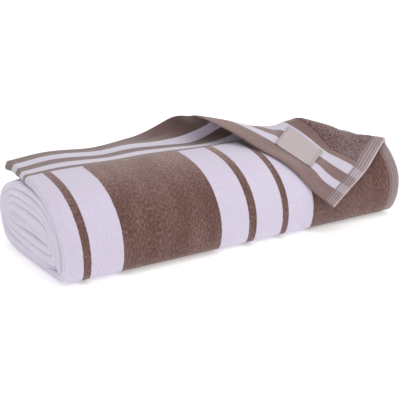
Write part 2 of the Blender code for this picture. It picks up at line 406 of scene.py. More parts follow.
# %% Noses of the lengthwise fold
FOLD_RADIUS = 1.9 * MM
QUARTER = FOLD_RADIUS * math.pi / 2
FOLD_BLUNT = 0.38  # 1 makes the fold's nose round, and less makes it flatter
FOLD_SPREAD = 0.6  # how much further apart the two layers are at the nose
FOLD_SPREAD_OVER = 13 * MM
WOUND_FROM = 80 * MM  # along the cloth, where its free end has become part of the roll
WOUND_OVER = 60 * MM
END_DOME = 2.5 * MM
END_NARROWS = 0.06
MOUTH_CLOSED = 0.109
MOUTH_DEPTH = 16 * MM
FAR_END_INSET = 16 * MM
FAR_END_LENGTH = 90 * MM
FAR_END_REACH = 60 * MM
BORDER_INSET = 4.5 * MM
BORDER_INSET_FROM = 28 * MM
BORDER_INSET_OVER = 50 * MM
BORDER_INSET_REACH = 150 * MM
UNEVEN_FROM_END = 90 * MM
UNEVEN_REACH = 40 * MM


def nose(across, along):
    """The layer that a point is in, how far the fold rounds off there, and how far past it is."""
    bend = np.clip(across / QUARTER, -1, 1) * math.pi / 2
    side = np.sin(bend)
    layer = np.sign(side) * np.abs(side) ** FOLD_BLUNT
    rounded = FOLD_RADIUS * (1 - np.abs(np.cos(bend)) ** FOLD_BLUNT)
    straight = np.maximum(np.abs(across) - QUARTER, 0)
    spread = FOLD_SPREAD * rise(along, WOUND_FROM, WOUND_OVER) * fade(straight, FOLD_SPREAD_OVER)
    return layer * (1 + spread), rounded, straight


def from_nose(along, straight):
    """x of a point this far past the nose, before the nose is rounded off."""
    x = FOLD_X + straight
    x += END_DOME * fade(along, 0.5 * CLOTH_LENGTH) * (1 - smooth(straight / HALF_WIDTH))
    at_border = 1 - rise(along, BORDER_INSET_FROM, BORDER_INSET_OVER)
    x += BORDER_INSET * at_border * fade(straight, BORDER_INSET_REACH)
    x -= uneven_fold(along) * fade(straight, UNEVEN_REACH) * smooth(along / UNEVEN_FROM_END)
    at_far_end = fade(CLOTH_LENGTH - along, FAR_END_LENGTH)
    return x + FAR_END_INSET * at_far_end * fade(straight, FAR_END_REACH)


print("a nose stands", round(QUARTER / MM, 1), "mm of cloth out from its layers")

# %% [markdown]
# ## From flat to rolled
# The whole folding is one function from the flat cloth to the room: across the lengthwise fold,
# over the turned corner, and then along the winding. Because it takes whole arrays, tens of
# thousands of points are placed at once. The outer layer also has a height above its path, from the
# corner, the flared hem, the waving edge and the swells. None of them may push it into the floor,
# so the swells stop where the roll rests.

# %% Place the cloth
FLARE_HELD_FROM = 150 * MM
FLARE_HELD_OVER = 55 * MM
EDGE_WAVE_REACH = 60 * MM
EDGE_WAVE_LENGTH = 17 * MM
SWELLS_TO = 500 * MM
SWELLS_FADE_OVER = 60 * MM
SWELLS_FROM_FOLD = 30 * MM
RESTS_ALONG = (190 * MM, 340 * MM)  # the stretch of the outer turn that can lie on the floor
SWELLS_STOP_OVER = (40 * MM, 30 * MM)
SWELLS_START_AT = 330 * MM
FLOOR_REACH = 0.8 * MM
# On the turned corner's section, start and length of a change, at size 1:
EDGE_WAVES = (2, 3)
SWELLS_END = (-2.5, 2)
CORNER_HANGS = (-0.5, 1.5)


def flare(x):
    return rise(x, FOLD_X + HALF_WIDTH - HEM_FLARE_WIDTH, HEM_FLARE_WIDTH)


def outer_height(across, along, x, turned_x, turned):
    """How far the outer layer stands off, besides the turned corner's own height."""
    held = 1 - rise(along, FLARE_HELD_FROM, FLARE_HELD_OVER)
    height = HEM_FLARE * held * np.maximum(flare(turned_x), flare(x) * smooth(turned))
    free = rise(turned, *EDGE_WAVES) * fade(along, EDGE_WAVE_REACH)
    height += EDGE_WAVE * free * np.sin(across / EDGE_WAVE_LENGTH)
    lies_free = fade(along - SWELLS_TO, SWELLS_FADE_OVER) * (1 - rise(turned, *SWELLS_END))
    rests = rise(along, RESTS_ALONG[0] - SWELLS_STOP_OVER[0], SWELLS_STOP_OVER[0])
    rests = rests * fade(along - SWELLS_START_AT, SWELLS_STOP_OVER[1])
    off_fold = smooth((np.abs(across) - QUARTER) / SWELLS_FROM_FOLD)
    return height + swells(across, along) * lies_free * (1 - rests) * off_fold


def place(across, along):
    """The places in the room of points of the flat cloth, one row each."""
    layer, rounded, straight = nose(across, along)
    x = from_nose(along, straight) + rounded
    forward = along - LOOSE_LENGTH
    outer = (across > QUARTER) & (along < 0.5 * CLOTH_LENGTH)
    turned_x, turned_forward, height, turned = turn_corner(x, forward)
    height = np.where(outer, height + outer_height(across, along, x, turned_x, turned), 0)
    x = np.where(outer, turned_x, x)
    forward = np.where(outer, turned_forward, forward)

    mouth = MOUTH_CLOSED * fade(straight, MOUTH_DEPTH)
    narrowed = END_NARROWS * fade(straight, FOLD_SPREAD_OVER) ** 2
    narrowed = narrowed * rise(along, WOUND_FROM, WOUND_OVER)
    yz = on_path(forward, layer, narrowed, mouth)
    yz[..., 1] += billows(x, along)
    yz += height[..., None] * path_normal(forward, layer)
    hung_yz, hung_normal = hung(forward)
    share = np.where(outer, rise(turned, *CORNER_HANGS), 0)[..., None]
    yz += share * (hung_yz + height[..., None] * hung_normal - yz)
    rests = (along > RESTS_ALONG[0]) & (along < RESTS_ALONG[1])
    rests &= yz[..., 1] < PLY / 2 + FLOOR_REACH
    yz[..., 1] = np.where(rests, PLY / 2, yz[..., 1])
    return np.stack([x, yz[..., 0] + CENTRE_Y, yz[..., 1]], -1)


def cloth_normal(across, along, rule=place):
    """Unit normals of the cloth's face, which is outwards on the roll."""
    step = 0.5 * MM
    run_across = rule(across + step, along) - rule(across - step, along)
    run_along = rule(across, along + step) - rule(across, along - step)
    normal = np.cross(run_along, run_across)
    return normal / np.linalg.norm(normal, axis=-1)[..., None]


tip = place(np.array([HALF_WIDTH]), np.array([0.0]))[0]
print("tip of the turned corner at", tip.round(3))

# %% [markdown]
# ## Creases of the turned corner
# A folded corner isn't a perfect cone. The cloth is held by the roll under it and by the label's
# stiff patch, so it sinks between them and stands up behind. Each of these soft troughs and ridges
# is one row of a table: how deep it is, where its middle lies on the flat cloth, how far it
# reaches along and across itself, and how it is turned. The label itself hardly bends: under it the
# cloth is pulled towards the flat patch between the label's four corners.

# %% Creases
CREASES = (
    # depth_mm, across_mm, along_mm, long_mm, short_mm, turned_deg
    (6.5, 309.0, 46.0, 50.0, 13.0, 18.0),
    (2.7, 388.0, 25.0, 15.0, 40.0, 7.0),
    (2.6, 353.0, 62.0, 16.5, 13.5, 85.0),
    (-5.6, 325.0, 64.0, 15.5, 13.0, 15.0),
    (-1.4, 370.0, 71.0, 22.0, 20.0, -54.0),
    (-3.4, 409.0, 50.0, 22.0, 19.0, 90.0),
)
LABEL_ACROSS = (321 * MM, 364.5 * MM)
LABEL_ALONG = (19 * MM, 54 * MM)
PATCH_BLEND = 15 * MM  # how far round the label the cloth still follows it
PATCH_FLATNESS = 0.85


def wrinkled(across, along):
    """The places in the room with the corner's creases, which sink towards the cloth's face."""
    depth = np.zeros_like(across)
    for deep, middle_across, middle_along, long, short, turned_deg in CREASES:
        right, ahead = math.cos(math.radians(turned_deg)), math.sin(math.radians(turned_deg))
        from_across = across - middle_across * MM
        from_along = along - middle_along * MM
        lengthways = (from_across * right + from_along * ahead) / (long * MM)
        sideways = (from_along * right - from_across * ahead) / (short * MM)
        depth += deep * MM * np.exp(-(lengthways**2) - sideways**2)
    return place(across, along) + depth[..., None] * cloth_normal(across, along)


def off_range(x, start, end):
    """How far x is outside of a range."""
    return np.maximum(np.maximum(start - x, x - end), 0)


def creased(across, along):
    """The creased cloth with the label's stiff patch, which is nearly flat between its corners."""
    points = wrinkled(across, along)
    corners = wrinkled(np.repeat(LABEL_ACROSS, 2), np.tile(LABEL_ALONG, 2))
    right = ((across - LABEL_ACROSS[0]) / (LABEL_ACROSS[1] - LABEL_ACROSS[0]))[..., None]
    ahead = ((along - LABEL_ALONG[0]) / (LABEL_ALONG[1] - LABEL_ALONG[0]))[..., None]
    left_side = corners[0] + (corners[1] - corners[0]) * ahead
    right_side = corners[2] + (corners[3] - corners[2]) * ahead
    flat = left_side + (right_side - left_side) * right
    off = np.hypot(off_range(across, *LABEL_ACROSS), off_range(along, *LABEL_ALONG))
    return points + PATCH_FLATNESS * fade(off, PATCH_BLEND)[..., None] * (flat - points)


print("creases:", len(CREASES))

# %% [markdown]
# ## How thick the cloth is
# Pile, border and hems differ in thickness, and that is what makes the steps between them catch the
# light: the flat border is half as thick as the pile, a hem is the flat weave folded double, and
# each edge thins out so that it looks rounded. Inside the roll the layers are pressed thinner, and
# swell again towards the core, where they have room. Under the roll the cloth ends at the floor.
# The numbers are shares of the free pile's thickness.

# %% Thickness of the cloth
PRESSED = 0.86
PRESSED_ALONG = (520 * MM, 1150 * MM)
PRESSED_OVER = (60 * MM, 150 * MM)
PRESSED_OFF_FOLD = 30 * MM
FOLD_THICKER = 0.08
BORDER_SHARE = 0.52
HEM_SHARE = 0.66
SEAM_SHARE = 0.40
SEAM_WIDTH = 1.1 * MM
EDGE_SHARE = 0.40
EDGE_OVER = 1.6 * MM
HEM_OVER = 1.0 * MM
RESTS_PAST = 5 * MM


def thickness_share(across, along, height):
    """The cloth's thickness as a share of PILE; height is the point's height above the floor."""
    end = np.minimum(along, CLOTH_LENGTH - along)
    side = HALF_WIDTH - np.abs(across)
    pressed = rise(along, PRESSED_ALONG[0], PRESSED_OVER[0])
    pressed = pressed * rise(-along, -PRESSED_ALONG[1], PRESSED_OVER[1])
    share = 1 + (PRESSED - 1) * pressed * smooth(np.abs(across) / PRESSED_OFF_FOLD)
    at_nose = fade(np.abs(across), FOLD_SPREAD_OVER)
    share += FOLD_THICKER * rise(along, WOUND_FROM, WOUND_OVER) * at_nose
    share *= roominess(np.interp(along - LOOSE_LENGTH, TURN_TABLE[1], TURN_TABLE[0]))
    share += (BORDER_SHARE - share) * rise(-end, -BORDER_WIDTH - EDGE_OVER / 2, EDGE_OVER)
    hem = np.maximum(rise(-side, -HEM_WIDTH, HEM_OVER), rise(-end, -HEM_WIDTH, HEM_OVER))
    share += (HEM_SHARE - share) * hem
    for depth in (side, end):
        share += (SEAM_SHARE - share) * bump(depth, HEM_WIDTH, SEAM_WIDTH)
        share *= EDGE_SHARE + (1 - EDGE_SHARE) * smooth(depth / EDGE_OVER)
    rests = (along > RESTS_ALONG[0]) & (along < RESTS_ALONG[1] + RESTS_PAST)
    return np.where(rests, np.minimum(share, 2 * height / PILE), share)


print("border:", BORDER_SHARE * PILE / MM, "mm, pile:", PILE / MM, "mm")

# %% [markdown]
# ## The sheet's grid
# A plain grid from one bmesh operator becomes the cloth. Its lines are close together where the
# cloth bends sharply or shows most, at the lengthwise fold, the hems, the turned corner and the
# border, and far apart inside the roll. Lines that are only needed on the outside are taken out
# again further in by dissolving their edges.

# %% Lines of the grid
REACH_LOOSE = 190 * MM
REACH_OUTSIDE = 545 * MM
EVERYWHERE = CLOTH_LENGTH + 1
COLUMNS_TO_MM = 392  # from the lengthwise fold
COLUMN_STEP_MM = 5.2
COLUMNS_FROM_MM = 33
FINE_COLUMNS_FROM_MM = 152
INNER_COLUMN_STEP_MM = 11
INNER_COLUMNS_FROM_MM = 36
PILE_ROWS_TO = 165 * MM
ROWS_PER_TURN = (68, 46)  # in the outer turn, and in the turns inside


def column_lines():
    """Distances across of the grid's columns, each with how far along the cloth it reaches."""
    at_fold = [k / 4 * QUARTER for k in range(5)] + [d * MM for d in (4.5, 7, 11, 17, 27)]
    inside = [d * MM for d in (62, 130, 203, 281, 348, 380)]
    depths = (14.5, 13.2, 12, 10.8, 9.5, 5, 2, 1, 0.4, 0)
    at_hem = [HALF_WIDTH - d * MM for d in depths]
    lines = {0.0: EVERYWHERE}
    for side in (1, -1):
        for d in at_fold + inside + at_hem:
            lines[side * d] = EVERYWHERE
    for d in np.arange(COLUMNS_FROM_MM, COLUMNS_TO_MM, COLUMN_STEP_MM):
        lines[d * MM] = REACH_OUTSIDE
    for d in np.arange(FINE_COLUMNS_FROM_MM, COLUMNS_TO_MM, COLUMN_STEP_MM):
        lines[(d + COLUMN_STEP_MM / 2) * MM] = REACH_LOOSE
    for d in np.arange(INNER_COLUMNS_FROM_MM, COLUMNS_TO_MM, INNER_COLUMN_STEP_MM):
        lines[-d * MM] = REACH_LOOSE
    return sorted(lines.items())


def row_lines():
    """Distances along the cloth of the grid's rows."""
    edge = [d * MM for d in (0, 0.4, 1, 2, 5)]
    seam = [HEM_WIDTH + d * MM for d in (-2.5, -1.2, 0, 1.2, 2.5)]
    step = [BORDER_WIDTH + d * MM for d in (-3, -1.6, -0.8, 0, 0.8, 1.6, 3)]
    border = list(np.linspace(17.5, 60, 15) * MM)
    pile = list(np.linspace(LOOSE_LENGTH, PILE_ROWS_TO, 29))
    first = np.interp(PILE_ROWS_TO - LOOSE_LENGTH, *TURN_TABLE[::-1])
    last = np.interp(CLOTH_LENGTH - LOOSE_LENGTH, *TURN_TABLE[::-1])
    outer_step, inner_step = (1 / count for count in ROWS_PER_TURN)
    outside = np.arange(first + outer_step, first + 1, outer_step)
    inside = np.arange(outside[-1] + inner_step, last - 0.03, inner_step)
    wound_rows = np.interp(np.concatenate([outside, inside]), *TURN_TABLE) + LOOSE_LENGTH
    far_end = [CLOTH_LENGTH - d * MM for d in (5, 2, 1, 0.4, 0)]
    kept = [row for row in wound_rows if row < CLOTH_LENGTH - 8 * MM]
    return edge + seam + border + step + pile + kept + far_end


columns, rows = column_lines(), row_lines()
print("grid:", len(columns), "columns and", len(rows), "rows")

# %% [markdown]
# Blender's grid operator makes a square with even steps. Each vertex's step numbers are read back
# from its place, and the two numbers of the flat cloth take over from there, also as a UV map
# in metres, which every cloth material reads.

# %% Build the towel's sheet
CLOSE = 1e-6  # nearer than this, two lines are the same


def flat_sheet(column_places, row_places):
    """A bmesh grid with its lines at these distances, still flat: x is across and y is along."""
    bm = bmesh.new()
    spans = (len(column_places) - 1, len(row_places) - 1)
    bmesh.ops.create_grid(bm, x_segments=spans[0], y_segments=spans[1], size=0.5)
    for vert in bm.verts:
        column = round((vert.co.x + 0.5) * spans[0])
        row = round((vert.co.y + 0.5) * spans[1])
        vert.co = (column_places[column], row_places[row], 0)
    return bm


def thin_out(bm, lines):
    """Takes each column out of the flat sheet past its reach."""
    places, reaches = np.array(lines).T
    spare = []
    for edge in bm.edges:
        a, b = (v.co for v in edge.verts)
        if abs(a.x - b.x) > CLOSE:
            continue
        reach = reaches[np.argmin(np.abs(places - a.x))]
        if min(a.y, b.y) > reach - CLOSE:
            spare.append(edge)
    bmesh.ops.dissolve_edges(bm, edges=spare, use_verts=True)


def draw_cloth_uv(bm):
    uv = bm.loops.layers.uv.new("cloth")
    for face in bm.faces:
        for loop in face.loops:
            loop[uv].uv = loop.vert.co.xy


def face_outwards(bm, normals):
    """Turns the whole sheet over if its faces look away from the cloth's face."""
    bm.normal_update()
    bm.faces.ensure_lookup_table()
    face = bm.faces[len(bm.faces) // 2]
    wanted = np.mean([normals[v.index] for v in face.verts], axis=0)
    if np.dot(face.normal, wanted) < 0:
        bmesh.ops.reverse_faces(bm, faces=bm.faces)


def finish_sheet(name, bm, shares, thickness, materials):
    """Makes the object, and gives it its thickness by a live Solidify."""
    mesh = bpy.data.meshes.new(name)
    bm.to_mesh(mesh)
    bm.free()
    mesh.shade_smooth()
    for material in materials:
        mesh.materials.append(material)
    sheet = bpy.data.objects.new(name, mesh)
    bpy.context.scene.collection.objects.link(sheet)
    group = sheet.vertex_groups.new(name="thickness")
    for index, share in enumerate(shares):
        group.add([index], float(share), "REPLACE")
    solid = sheet.modifiers.new("thickness", "SOLIDIFY")
    solid.thickness = thickness
    solid.offset = 0
    solid.use_quality_normals = True
    solid.vertex_group = "thickness"
    solid.material_offset = min(1, len(materials) - 1)
    solid.material_offset_rim = min(2, len(materials) - 1)
    return sheet


def lay_sheet(bm, lift=0.0):
    """Moves the flat sheet to its place, lifted on the face's side; gives the flat numbers back."""
    bm.verts.ensure_lookup_table()
    bm.verts.index_update()
    draw_cloth_uv(bm)
    flat = np.array([v.co[:2] for v in bm.verts])
    placed = creased(flat[:, 0], flat[:, 1])
    normals = cloth_normal(flat[:, 0], flat[:, 1], creased)
    placed = placed + np.asarray(lift)[..., None] * normals
    for vert, point in zip(bm.verts, placed):
        vert.co = point
    face_outwards(bm, normals)
    return flat, placed


towel_bm = flat_sheet([distance for distance, _ in columns], rows)
thin_out(towel_bm, columns)
towel_flat, towel_placed = lay_sheet(towel_bm)
towel_shares = thickness_share(towel_flat[:, 0], towel_flat[:, 1], towel_placed[:, 2])
print("sheet:", len(towel_bm.verts), "vertices,", len(towel_bm.faces), "faces")

# %% [markdown]
# ## Finishes: small tools for shader nodes
# Several materials need the same effects, such as the stripes, so each effect becomes a node group
# that is made once. A few helpers keep the node code readable: they add a node and fill its inputs
# with values or links, and open a group with named sockets or use one.

# %% Node helpers
SOCKET_KINDS = {"value": "NodeSocketFloat", "color": "NodeSocketColor", "vector": "NodeSocketVector"}


def add(tree, kind, inputs=None, **settings):
    """Adds a node; each input is a value or the socket that feeds it."""
    node = tree.nodes.new(kind)
    for name, value in settings.items():
        setattr(node, name, value)
    for key, value in (inputs or {}).items():
        if isinstance(value, bpy.types.NodeSocket):
            tree.links.new(value, node.inputs[key])
        else:
            node.inputs[key].default_value = value
    return node


def calculate(tree, operation, *values):
    return add(tree, "ShaderNodeMath", dict(enumerate(values)), operation=operation).outputs[0]


def times(tree, first, second):
    return calculate(tree, "MULTIPLY", first, second)


def blend(tree, share, first, second):
    """A colour between two colours."""
    node = add(tree, "ShaderNodeMix", {0: share, 6: first, 7: second}, data_type="RGBA")
    return node.outputs[2]


def noise(tree, vector, scale, detail):
    """Smooth noise between 0 and 1; scale is a number, or three to stretch it."""
    if isinstance(scale, tuple):
        vector = scaled(tree, vector, scale)
        scale = 1.0
    inputs = {"Vector": vector, "Scale": scale, "Detail": detail}
    return add(tree, "ShaderNodeTexNoise", inputs).outputs[0]


def scaled(tree, vector, scale):
    node = add(tree, "ShaderNodeVectorMath", {0: vector, 1: scale}, operation="MULTIPLY")
    return node.outputs[0]


def spread(tree, value, start, end):
    """0 at start and 1 at end, cut off outside of them; the end may lie below the start."""
    return add(tree, "ShaderNodeMapRange", {0: value, 1: start, 2: end}).outputs[0]


def open_group(name, inputs, outputs):
    """A new node group; gives its tree, its input node's sockets and its output node."""
    tree = bpy.data.node_groups.new(name, "ShaderNodeTree")
    for socket, kind in inputs.items():
        tree.interface.new_socket(name=socket, in_out="INPUT", socket_type=SOCKET_KINDS[kind])
    for socket, kind in outputs.items():
        tree.interface.new_socket(name=socket, in_out="OUTPUT", socket_type=SOCKET_KINDS[kind])
    return tree, tree.nodes.new("NodeGroupInput").outputs, tree.nodes.new("NodeGroupOutput")


def give(tree, result, outputs):
    """Links a group's results to its output node."""
    for name, socket in outputs.items():
        tree.links.new(socket, result.inputs[name])


def use_group(tree, group, inputs):
    node = add(tree, "ShaderNodeGroup")
    node.node_tree = group
    for key, value in inputs.items():
        tree.links.new(value, node.inputs[key])
    return node.outputs


print("node helpers are ready")

# %% [markdown]
# ## Finishes: stripes
# The stripes are dyed yarn, so they belong to the cloth and not to the room. The pile has them
# lengthwise, counted here from the middle of the towel, and both ends have a border with its own
# crosswise set. A colour ramp with constant steps draws a whole set of stripes at once, and a
# little noise added to the distance makes its edges as ragged as cut pile.

# %% Stripes group
PILE_STRIPES_MM = (16.75, 25.5, 59.0, 169.0, 202.5, 211.2, 244.7, 253.4, 286.9)
BORDER_STRIPES_MM = (20.0, 31.0, 44.5, 57.5)
STRIPE_FUZZ = 0.7 * MM
FUZZ_SCALE = 700.0
WOVEN_FUZZ = 0.4  # woven stripes are less ragged than cut pile
BORDER_EDGE = BORDER_WIDTH - 0.5 * MM


def stripe_mask(tree, distance, span, edges_mm, first):
    """1 on the brown stripes and 0 on the white ones; first is the value at distance 0."""
    share = calculate(tree, "DIVIDE", distance, span)
    ramp = add(tree, "ShaderNodeValToRGB", {"Fac": share})
    ramp.color_ramp.interpolation = "CONSTANT"
    stops = ramp.color_ramp.elements
    stops.remove(stops[1])
    stops[0].color = (first, first, first, 1)
    for count, edge in enumerate(edges_mm):
        value = first if count % 2 else 1 - first
        stops.new(edge * MM / span).color = (value, value, value, 1)
    return ramp.outputs["Color"]


stripes, given, result = open_group(
    "towel_stripes",
    {"Place": "vector"},
    {
        "Brown": "value",
        "Border": "value",
        "From side": "value",
        "From end": "value",
    },
)
parts = add(stripes, "ShaderNodeSeparateXYZ", {0: given["Place"]}).outputs
from_fold = calculate(stripes, "ABSOLUTE", parts["X"])
from_side = calculate(stripes, "SUBTRACT", HALF_WIDTH, from_fold)
from_far_end = calculate(stripes, "SUBTRACT", CLOTH_LENGTH, parts["Y"])
from_end = calculate(stripes, "MINIMUM", parts["Y"], from_far_end)
fuzz = calculate(
    stripes,
    "MULTIPLY_ADD",
    noise(stripes, given["Place"], FUZZ_SCALE, 2.0),
    2 * STRIPE_FUZZ,
    -STRIPE_FUZZ,
)
fuzzy_fold = calculate(stripes, "ADD", from_fold, fuzz)
fuzzy_end = calculate(stripes, "MULTIPLY_ADD", fuzz, WOVEN_FUZZ, from_end)
lengthwise = stripe_mask(stripes, fuzzy_fold, HALF_WIDTH, PILE_STRIPES_MM, 0)
crosswise = stripe_mask(stripes, fuzzy_end, BORDER_WIDTH, BORDER_STRIPES_MM, 1)
in_border = calculate(stripes, "LESS_THAN", from_end, BORDER_EDGE)
brown = add(stripes, "ShaderNodeMix", {0: in_border, 2: lengthwise, 3: crosswise})
measures = {"Border": in_border, "From side": from_side, "From end": from_end}
give(stripes, result, {"Brown": brown.outputs[0], **measures})
print("stripes:", len(PILE_STRIPES_MM) + 1, "lengthwise,", len(BORDER_STRIPES_MM) + 1, "across")

# %% [markdown]
# ## Finishes: velour
# Sheared pile looks streaky, because tufts lean different ways and catch the light: lighter and
# darker specks of a few millimetres, longer in the direction in which the roll's surface was
# rubbed. White pile shows them far less than brown. Noises of three sizes, two of them stretched
# along the cloth, add up to one value, and this gives both the colour and the small unevenness of
# the surface. Over the roll's top, next to the border, the brown gets a painted sheen and the white
# a painted shade, in part standing for the pile's real lean there.

# %% Velour group
BROWN_VELOUR = (0.125, 0.058, 0.048, 1)
BROWN_TIP_AND_SHEEN = (0.27, 0.165, 0.150, 1)
BROWN_DEEP = (0.07, 0.031, 0.026, 1)
WHITE_VELOUR = (0.60, 0.545, 0.665, 1)
WHITE_SHADE = (0.50, 0.445, 0.54, 1)
STREAK_SCALE = (620.0, 300.0, 620.0)
SPECK_SCALE = 1500.0
SPECK_SHARE = 0.45
LEAN_SCALE = (60.0, 18.0, 60.0)
LEAN_SHARE = 0.35
TUFT_EVEN = 0.86  # the sum of the noises where a tuft is neither light nor dark
TUFT_LIGHT = 1.16
TUFT_DARK = 0.62
LIGHT_SHARE = 0.75
DARK_SHARE = 0.85
WHITE_DARK_SHARE = 0.45
# Painted sheen on the brown and painted shade on the white over the roll's top, next to the border; in
# part the pile's real lean.
TOP_SHEEN_TO = 135 * MM
TOP_SHEEN_LIGHT = 0.48
TOP_SHEEN_TIPS = (0.45, 1.3)  # how light an even tuft gets there, and how much more a light one
WHITE_TOP_SHADE = 0.8

velour, given, result = open_group(
    "velour", {"Place": "vector", "Brown": "value"}, {"Color": "color", "Height": "value"}
)
speck = noise(velour, given["Place"], SPECK_SCALE, 2.0)
streak = noise(velour, given["Place"], STREAK_SCALE, 3.0)
lean = noise(velour, given["Place"], LEAN_SCALE, 2.0)
tuft = calculate(velour, "MULTIPLY_ADD", speck, SPECK_SHARE, streak)
tuft = calculate(velour, "MULTIPLY_ADD", lean, LEAN_SHARE, tuft)
light = spread(velour, tuft, TUFT_EVEN, TUFT_LIGHT)
dark = spread(velour, tuft, TUFT_EVEN, TUFT_DARK)
along = add(velour, "ShaderNodeSeparateXYZ", {0: given["Place"]}).outputs["Y"]
# Painted sheen and shade over the roll's top: 1 at the border, fading to 0 further along the cloth.
top_sheen_and_shade = spread(velour, along, TOP_SHEEN_TO, BORDER_WIDTH)
top_sheen = calculate(velour, "MULTIPLY_ADD", light, TOP_SHEEN_TIPS[1], TOP_SHEEN_TIPS[0])
top_sheen = times(velour, top_sheen, TOP_SHEEN_LIGHT)
tip_and_sheen_share = times(velour, light, LIGHT_SHARE)
tip_and_sheen_share = calculate(velour, "MULTIPLY_ADD", top_sheen_and_shade, top_sheen, tip_and_sheen_share)
dark_share = times(velour, dark, DARK_SHARE)
brown_pile = blend(velour, tip_and_sheen_share, BROWN_VELOUR, BROWN_TIP_AND_SHEEN)
brown_pile = blend(velour, dark_share, brown_pile, BROWN_DEEP)
# The white's random dark tufts, plus painted shade over the roll's top.
white_shade_share = times(velour, dark, WHITE_DARK_SHARE)
white_shade_share = calculate(velour, "MULTIPLY_ADD", top_sheen_and_shade, WHITE_TOP_SHADE, white_shade_share)
white_pile = blend(velour, white_shade_share, WHITE_VELOUR, WHITE_SHADE)
color = blend(velour, given["Brown"], white_pile, brown_pile)
give(velour, result, {"Color": color, "Height": tuft})
print("velour streaks", [round(1000 / scale, 1) for scale in STREAK_SCALE[:2]], "mm across and along")

# %% [markdown]
# ## Finishes: loops
# The reverse was never sheared, so it is covered with standing loops of yarn about as wide as a
# match is thick. Cells of a Voronoi texture are the usual way to get loops: the distance from a
# cell's centre is the loop's height, and each cell's own random colour makes its yarn a little
# lighter or darker than its neighbours. The gaps between the loops get a painted shade.

# %% Loops group
LOOP_SCALE = (800.0, 700.0, 800.0)
BROWN_LOOP = (0.165, 0.093, 0.092, 1)
BROWN_LOOP_LIGHT = (0.29, 0.20, 0.20, 1)
WHITE_LOOP = (0.59, 0.54, 0.64, 1)
# Painted shade in the gaps between the loops, darker than the yarn itself.
LOOP_GAP_SHADE = (0.10, 0.060, 0.058, 1)
WHITE_LOOP_GAP_SHADE = (0.44, 0.41, 0.46, 1)
LOOP_GAP_SHADE_FROM = 0.35  # distance from a loop's middle, as a share of its width
LOOP_GAP_SHADE_DEEP = 0.75
LOOP_UNEVEN = 0.85
YARN_CONTRAST = 1.6

loops, given, result = open_group(
    "terry_loops", {"Place": "vector", "Brown": "value"}, {"Color": "color", "Height": "value"}
)
packed = scaled(loops, given["Place"], LOOP_SCALE)
cell_inputs = {"Vector": packed, "Scale": 1.0, "Randomness": LOOP_UNEVEN}
cells = add(loops, "ShaderNodeTexVoronoi", cell_inputs)
yarn = add(loops, "ShaderNodeSeparateColor", {0: cells.outputs["Color"]}).outputs[0]
# Painted shade: darker the further a point lies from its loop's middle.
gap_shade = spread(loops, cells.outputs["Distance"], LOOP_GAP_SHADE_FROM, LOOP_GAP_SHADE_DEEP)
light_yarn = calculate(loops, "POWER", yarn, YARN_CONTRAST)
brown_yarn = blend(loops, light_yarn, BROWN_LOOP, BROWN_LOOP_LIGHT)
brown_loop = blend(loops, gap_shade, brown_yarn, LOOP_GAP_SHADE)
white_loop = blend(loops, gap_shade, WHITE_LOOP, WHITE_LOOP_GAP_SHADE)
color = blend(loops, given["Brown"], white_loop, brown_loop)
height = calculate(loops, "SUBTRACT", 1.0, cells.outputs["Distance"])
give(loops, result, {"Color": color, "Height": height})
print("loops about", round(1000 / LOOP_SCALE[0], 1), "mm wide")

# %% [markdown]
# ## Finishes: border and hems
# The ends have no pile: there the ground weave shows as fine ribs that run across the towel. A hem
# is the same flat weave turned in twice and sewn down with a row of stitches. Its yarns are greyer,
# since the stripes only show through faintly, a few lighter lines run along it, and its outer edge
# is a light, slightly pink line.

# %% Border group
RIB_PITCH = 1.15 * MM
WARP_PITCH = 1.0 * MM
WARP_HEIGHT = 0.35  # as a share of the ribs' height
UNEVEN_SCALE = 420.0
RIB_SHAKE = 0.5 * MM
BROWN_FLAT = (0.235, 0.155, 0.146, 1)
BROWN_FLAT_SHADE = (0.16, 0.098, 0.090, 1)
WHITE_FLAT = (0.59, 0.54, 0.64, 1)
WHITE_FLAT_SHADE = (0.49, 0.445, 0.52, 1)
HEM_GREY = (0.235, 0.165, 0.16, 1)
HEM_STRIPES_SHOW = 0.34
HEM_LINE_PITCH = 2.6 * MM
HEM_LINE_SHARPNESS = 2.5
HEM_LINE_LIGHT = 0.36
HEM_EDGE = (0.50, 0.40, 0.385, 1)
HEM_EDGE_WIDTH = 1.8 * MM
HEM_EDGE_SHARE = 0.7
STITCH_THREAD = (0.12, 0.085, 0.08, 1)
STITCH_SHARE = 0.8
STITCH_PITCH = 3.0 * MM
STITCH_GAP = 0.22
STITCH_WIDTH = 0.45 * MM
STITCHES_IN = 1.2 * MM  # from the hem's inner edge


def ribs(tree, distance, pitch):
    """A height between 0 and 1 that rises once in every pitch."""
    turn = times(tree, distance, math.tau / pitch)
    return calculate(tree, "MULTIPLY_ADD", calculate(tree, "SINE", turn), 0.5, 0.5)


def near(tree, distance, centre, width):
    """1 within this width of a line, and 0 elsewhere."""
    return calculate(tree, "COMPARE", distance, centre, width)


def stitches(tree, distance, line, width, run, pitch, gap):
    """1 on the stitches of a seam: distance is measured to its line, and run goes along it."""
    on_thread = calculate(tree, "GREATER_THAN", ribs(tree, run, pitch), gap)
    return times(tree, near(tree, distance, line, width), on_thread)


